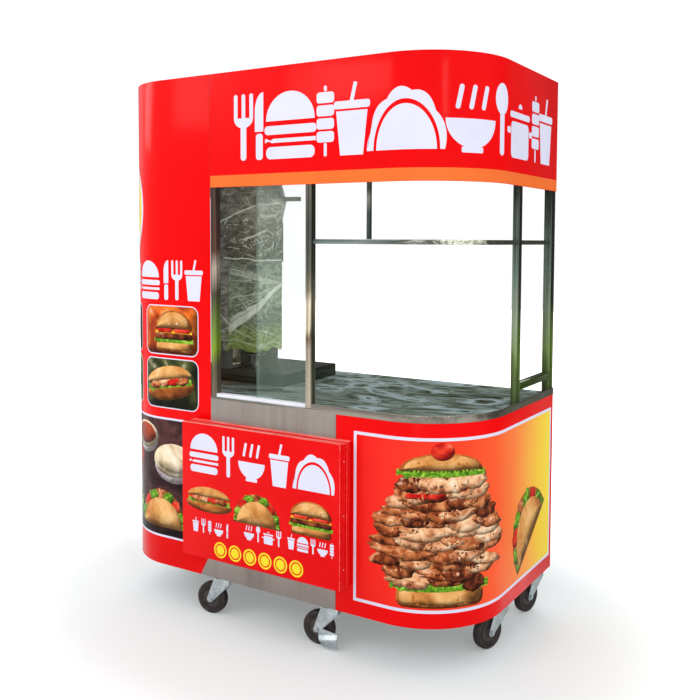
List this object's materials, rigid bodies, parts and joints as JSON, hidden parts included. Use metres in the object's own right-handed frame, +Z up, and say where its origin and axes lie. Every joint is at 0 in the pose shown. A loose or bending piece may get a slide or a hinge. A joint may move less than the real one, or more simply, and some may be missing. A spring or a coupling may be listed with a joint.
{
  "type": "street food cart",
  "caption": "Wheeled street food cart with a rounded cabinet, steel counter, canopy on posts, sliding glass hatch, light box and vertical spit grill.",
  "frame": {"origin": "on the floor, under the middle of the cart's bounding box", "axes": "+Z up, +X to the right as the customer sees it, -Y towards the customer"},
  "size_m": [1.55, 0.8672, 2],
  "materials": {
    "stainless": "brushed stainless tube and sheet",
    "inner_steel": "plain steel sheet and tube",
    "counter_steel": "brushed stainless sheet under a thin clear film",
    "red_vinyl": "composite panel faced with glossy printed vinyl",
    "white_track": "white extruded track",
    "glass": "clear float glass, slightly green",
    "ceramic": "burner plate",
    "black_plastic": "moulded knob",
    "zinc": "bright zinc plating on pressed steel",
    "rubber": "dark rubber tread on a moulded hub"
  },
  "bodies": {
    "cart": {"base_rail_front": "inner_steel", "base_rail_rear": "inner_steel", "base_cross_rail": "inner_steel", "cabinet_floor": "inner_steel", "front_panel": "stainless", "right_skirt": "red_vinyl", "left_skin": "red_vinyl", "rear_stile": "stainless", "counter_top": "counter_steel", "jamb_post": "stainless", "front_post": "stainless", "side_post": "stainless", "rear_right_post": "stainless", "rear_left_post": "stainless", "serving_rail": "stainless", "side_rail_upper": "stainless", "side_rail_lower": "stainless", "rail_hanger": "stainless", "canopy_fascia": "red_vinyl", "rear_fascia": "red_vinyl", "roof_panel": "inner_steel", "roof_bow": "inner_steel", "track_bottom": "white_track", "track_top": "stainless", "light_box_tray": "red_vinyl", "light_box_frame": "red_vinyl", "light_box_face": "red_vinyl", "grill_base": "stainless", "grill_mast_front": "stainless", "grill_mast_rear": "stainless", "grill_burner": "ceramic", "grill_housing": "stainless", "grill_arm": "stainless", "grill_hood": "stainless", "caster_plate_front_left": "zinc", "caster_plate_front_middle": "zinc", "caster_plate_right_front": "zinc", "caster_plate_right_rear": "zinc", "caster_plate_rear_left": "zinc"},
    "swivel_front_left": {"caster_fork_front_left": "zinc"},
    "wheel_front_left": {"caster_wheel_front_left": "rubber"},
    "swivel_front_middle": {"caster_fork_front_middle": "zinc"},
    "wheel_front_middle": {"caster_wheel_front_middle": "rubber"},
    "brake": {"brake_pedal_front_middle": "zinc"},
    "swivel_right_front": {"caster_fork_right_front": "zinc"},
    "wheel_right_front": {"caster_wheel_right_front": "rubber"},
    "swivel_right_rear": {"caster_fork_right_rear": "zinc"},
    "wheel_right_rear": {"caster_wheel_right_rear": "rubber"},
    "swivel_rear_left": {"caster_fork_rear_left": "zinc"},
    "wheel_rear_left": {"caster_wheel_rear_left": "rubber"},
    "pane_outer": {"glass_pane_outer": "glass"},
    "pane_inner": {"glass_pane_inner": "glass"},
    "door_left": {"rear_door_left": "stainless", "door_handle_left": "stainless"},
    "door_right": {"rear_door_right": "stainless", "door_handle_right": "stainless"},
    "drip_drawer": {"drip_tray": "stainless"},
    "knob_left": {"grill_knob_left": "black_plastic"},
    "knob_right": {"grill_knob_right": "black_plastic"},
    "spit_drive": {"spit": "stainless"}
  },
  "joints": [
    {"name": "swivel_front_left", "type": "hinge", "parent": "cart", "child": "swivel_front_left", "pos_m": [-0.253, -0.3167, 0.14], "axis": [0, 0, 1], "continuous": true},
    {"name": "spin_front_left", "type": "hinge", "parent": "swivel_front_left", "child": "wheel_front_left", "pos_m": [-0.29042, -0.3233, 0.05949], "axis": [0.1736, -0.9848, 0], "continuous": true},
    {"name": "swivel_front_middle", "type": "hinge", "parent": "cart", "child": "swivel_front_middle", "pos_m": [0.233, -0.3167, 0.14], "axis": [0, 0, 1], "continuous": true},
    {"name": "spin_front_middle", "type": "hinge", "parent": "swivel_front_middle", "child": "wheel_front_middle", "pos_m": [0.19514, -0.32001, 0.05949], "axis": [0.0872, -0.9962, 0], "continuous": true},
    {"name": "brake_press", "type": "hinge", "parent": "swivel_front_middle", "child": "brake", "pos_m": [0.19514, -0.32001, 0.05949], "axis": [-0.0872, 0.9962, 0], "range_deg": [-14, 0]},
    {"name": "swivel_right_front", "type": "hinge", "parent": "cart", "child": "swivel_right_front", "pos_m": [0.721, -0.0077, 0.14], "axis": [0, 0, 1], "continuous": true},
    {"name": "spin_right_front", "type": "hinge", "parent": "swivel_right_front", "child": "wheel_right_front", "pos_m": [0.708, -0.04341, 0.05949], "axis": [0.9397, -0.342, 0], "continuous": true},
    {"name": "swivel_right_rear", "type": "hinge", "parent": "cart", "child": "swivel_right_rear", "pos_m": [0.721, 0.3503, 0.14], "axis": [0, 0, 1], "continuous": true},
    {"name": "spin_right_rear", "type": "hinge", "parent": "swivel_right_rear", "child": "wheel_right_rear", "pos_m": [0.71181, 0.31343, 0.05949], "axis": [0.9703, -0.2419, 0], "continuous": true},
    {"name": "swivel_rear_left", "type": "hinge", "parent": "cart", "child": "swivel_rear_left", "pos_m": [-0.665, 0.3503, 0.14], "axis": [0, 0, 1], "continuous": true},
    {"name": "spin_rear_left", "type": "hinge", "parent": "swivel_rear_left", "child": "wheel_rear_left", "pos_m": [-0.678, 0.31459, 0.05949], "axis": [0.9397, -0.342, 0], "continuous": true},
    {"name": "pane_outer_slide", "type": "slide", "parent": "cart", "child": "pane_outer", "axis": [-1, 0, 0], "range_m": [0, 0.181]},
    {"name": "pane_inner_slide", "type": "slide", "parent": "cart", "child": "pane_inner", "axis": [-1, 0, 0], "range_m": [0, 0.181]},
    {"name": "door_left_hinge", "type": "hinge", "parent": "cart", "child": "door_left", "pos_m": [-0.7354, 0.3993, 0.5], "axis": [0, 0, 1], "range_deg": [0, 95]},
    {"name": "door_right_hinge", "type": "hinge", "parent": "cart", "child": "door_right", "pos_m": [0.7354, 0.3993, 0.5], "axis": [0, 0, -1], "range_deg": [0, 95]},
    {"name": "drip_tray_slide", "type": "slide", "parent": "cart", "child": "drip_drawer", "axis": [0, 1, 0], "range_m": [0, 0.3]},
    {"name": "knob_left_turn", "type": "hinge", "parent": "cart", "child": "knob_left", "pos_m": [-0.409, 0.1056, 1.5653], "axis": [0, 1, 0], "range_deg": [0, 210]},
    {"name": "knob_right_turn", "type": "hinge", "parent": "cart", "child": "knob_right", "pos_m": [-0.349, 0.1056, 1.5653], "axis": [0, 1, 0], "range_deg": [0, 210]},
    {"name": "spit_turn", "type": "hinge", "parent": "cart", "child": "spit_drive", "pos_m": [-0.361, 0.0203, 0.9], "axis": [0, 0, 1], "continuous": true}
  ]
}
